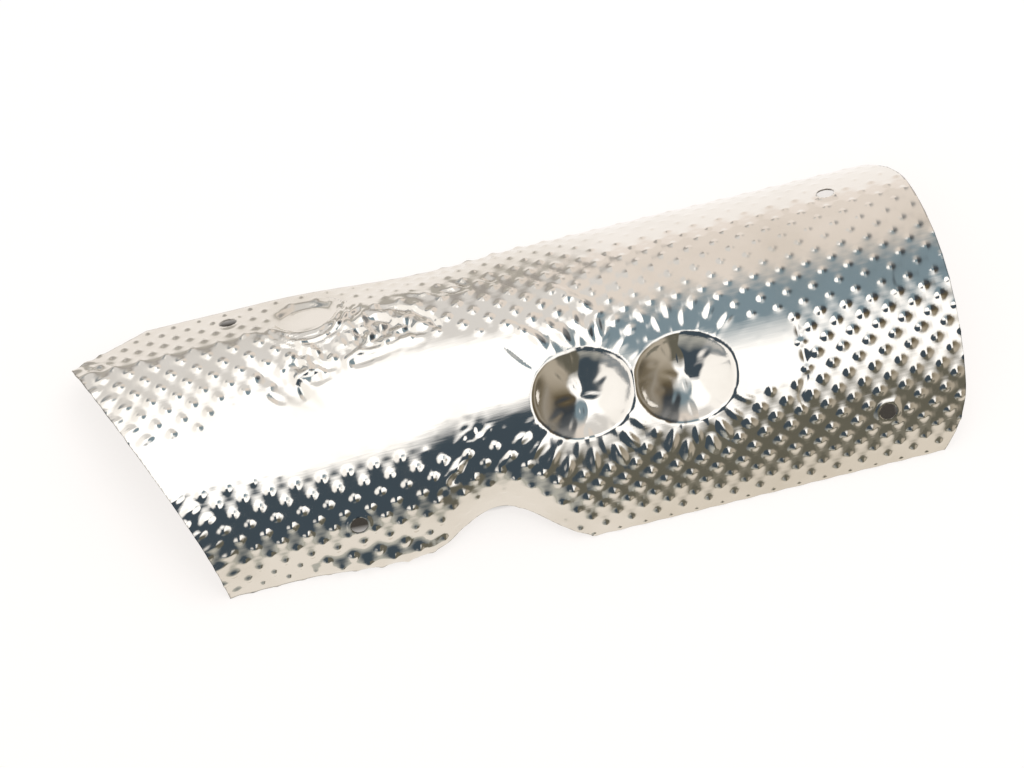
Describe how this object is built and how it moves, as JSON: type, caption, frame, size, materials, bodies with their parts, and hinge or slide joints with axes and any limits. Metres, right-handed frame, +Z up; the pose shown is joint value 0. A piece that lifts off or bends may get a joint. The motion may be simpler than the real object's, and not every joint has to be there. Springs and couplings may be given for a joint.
{
  "type": "exhaust heat shield",
  "caption": "Exhaust heat shield: a thin embossed stainless sheet pressed into a half-pipe, with a slanted end, a waisted edge, round pockets and screw holes.",
  "frame": {"origin": "on the floor, in the middle of the shield's length and width", "axes": "+X along the tunnel towards the square end, +Y to the back edge with the pad, +Z up through the crown"},
  "size_m": [0.279, 0.103, 0.0349],
  "materials": {
    "embossed_steel": "bright"
  },
  "bodies": {
    "root": {"heat_shield": "embossed_steel"}
  },
  "joints": []
}
